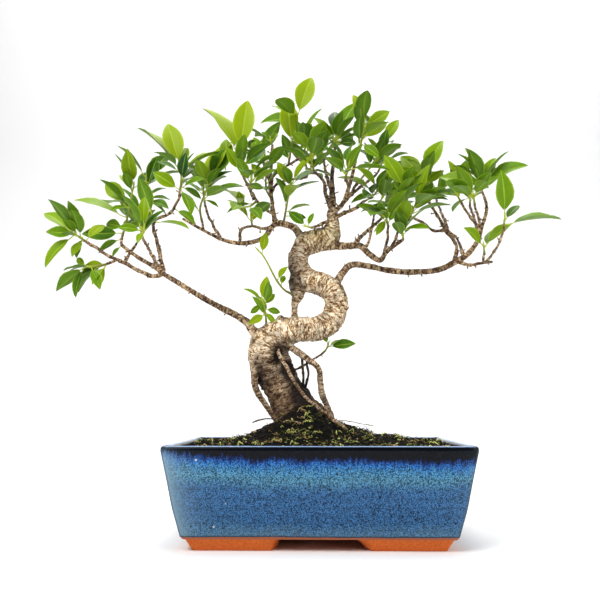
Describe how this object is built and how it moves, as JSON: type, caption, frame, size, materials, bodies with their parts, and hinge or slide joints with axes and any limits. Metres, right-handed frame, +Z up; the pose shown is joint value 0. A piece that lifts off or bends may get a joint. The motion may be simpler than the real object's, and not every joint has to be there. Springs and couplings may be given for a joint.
{
  "type": "potted bonsai tree",
  "caption": "Indoor fig bonsai with a winding ringed trunk, aerial roots and glossy leaves, in a rectangular blue glazed pot that stands on corner feet.",
  "frame": {"origin": "middle of the outline seen from above, at the level that the pot's feet stand on", "axes": "+X to the right along the pot's long side, +Y to the back, +Z up the tree"},
  "size_m": [0.5506, 0.2258, 0.5242],
  "materials": {
    "pot": "glossy speckled blue glaze over an unglazed brown foot",
    "drain_screen_left": "matt",
    "drain_screen_right": "matt",
    "soil": "damp dark soil with moss",
    "trunk": "ring-wrinkled tan bark",
    "shoot_left_end": "glossy green leaves on thin green stems",
    "shoot_left_under": "glossy green leaves on thin green stems",
    "shoot_left_upper": "glossy green leaves on thin green stems",
    "shoot_left_front": "glossy green leaves on thin green stems",
    "shoot_left_inner": "glossy green leaves on thin green stems",
    "shoot_left_top": "glossy green leaves on thin green stems",
    "shoot_left_arm": "glossy green leaves on thin green stems",
    "shoot_crown_left": "glossy green leaves on thin green stems",
    "shoot_arm_side": "glossy green leaves on thin green stems",
    "shoot_loop_shoot": "glossy green leaves on thin green stems",
    "shoot_inner_stem": "glossy green leaves on thin green stems",
    "shoot_inner_leaves": "glossy green leaves on thin green stems",
    "shoot_twin_leaf": "glossy green leaves on thin green stems",
    "shoot_peak": "glossy green leaves on thin green stems",
    "shoot_crown_right": "glossy green leaves on thin green stems",
    "shoot_crown_back": "glossy green leaves on thin green stems",
    "shoot_inner_green": "glossy green leaves on thin green stems",
    "shoot_up_left": "glossy green leaves on thin green stems",
    "shoot_top_centre": "glossy green leaves on thin green stems",
    "shoot_top_left": "glossy green leaves on thin green stems",
    "shoot_top_right": "glossy green leaves on thin green stems",
    "shoot_top_far": "glossy green leaves on thin green stems",
    "shoot_top_low": "glossy green leaves on thin green stems",
    "shoot_middle_new": "glossy green leaves on thin green stems",
    "shoot_middle_first": "glossy green leaves on thin green stems",
    "shoot_middle_centre": "glossy green leaves on thin green stems",
    "shoot_middle_end": "glossy green leaves on thin green stems",
    "shoot_right_crown": "glossy green leaves on thin green stems",
    "shoot_right_fore": "glossy green leaves on thin green stems",
    "shoot_right_side": "glossy green leaves on thin green stems",
    "shoot_right_end": "glossy green leaves on thin green stems",
    "shoot_right_low": "glossy green leaves on thin green stems",
    "shoot_right_tip": "glossy green leaves on thin green stems",
    "shoot_right_fork": "glossy green leaves on thin green stems",
    "shoot_low_shoot": "glossy green leaves on thin green stems",
    "shoot_bend_leaf": "glossy green leaves on thin green stems",
    "shoot_back_left": "glossy green leaves on thin green stems",
    "shoot_back_arm": "glossy green leaves on thin green stems",
    "shoot_back_crown": "glossy green leaves on thin green stems",
    "shoot_back_top": "glossy green leaves on thin green stems",
    "shoot_back_top_right": "glossy green leaves on thin green stems",
    "shoot_back_middle": "glossy green leaves on thin green stems",
    "shoot_back_right": "glossy green leaves on thin green stems",
    "shoot_back_right_end": "glossy green leaves on thin green stems",
    "shoot_fore_crown": "glossy green leaves on thin green stems",
    "shoot_fore_top": "glossy green leaves on thin green stems"
  },
  "bodies": {
    "root": {"pot": "pot", "drain_screen_left": "drain_screen_left", "drain_screen_right": "drain_screen_right", "soil": "soil", "trunk": "trunk", "shoot_left_end": "shoot_left_end", "shoot_left_under": "shoot_left_under", "shoot_left_upper": "shoot_left_upper", "shoot_left_front": "shoot_left_front", "shoot_left_inner": "shoot_left_inner", "shoot_left_top": "shoot_left_top", "shoot_left_arm": "shoot_left_arm", "shoot_crown_left": "shoot_crown_left", "shoot_arm_side": "shoot_arm_side", "shoot_loop_shoot": "shoot_loop_shoot", "shoot_inner_stem": "shoot_inner_stem", "shoot_inner_leaves": "shoot_inner_leaves", "shoot_twin_leaf": "shoot_twin_leaf", "shoot_peak": "shoot_peak", "shoot_crown_right": "shoot_crown_right", "shoot_crown_back": "shoot_crown_back", "shoot_inner_green": "shoot_inner_green", "shoot_up_left": "shoot_up_left", "shoot_top_centre": "shoot_top_centre", "shoot_top_left": "shoot_top_left", "shoot_top_right": "shoot_top_right", "shoot_top_far": "shoot_top_far", "shoot_top_low": "shoot_top_low", "shoot_middle_new": "shoot_middle_new", "shoot_middle_first": "shoot_middle_first", "shoot_middle_centre": "shoot_middle_centre", "shoot_middle_end": "shoot_middle_end", "shoot_right_crown": "shoot_right_crown", "shoot_right_fore": "shoot_right_fore", "shoot_right_side": "shoot_right_side", "shoot_right_end": "shoot_right_end", "shoot_right_low": "shoot_right_low", "shoot_right_tip": "shoot_right_tip", "shoot_right_fork": "shoot_right_fork", "shoot_low_shoot": "shoot_low_shoot", "shoot_bend_leaf": "shoot_bend_leaf", "shoot_back_left": "shoot_back_left", "shoot_back_arm": "shoot_back_arm", "shoot_back_crown": "shoot_back_crown", "shoot_back_top": "shoot_back_top", "shoot_back_top_right": "shoot_back_top_right", "shoot_back_middle": "shoot_back_middle", "shoot_back_right": "shoot_back_right", "shoot_back_right_end": "shoot_back_right_end", "shoot_fore_crown": "shoot_fore_crown", "shoot_fore_top": "shoot_fore_top"}
  },
  "joints": []
}
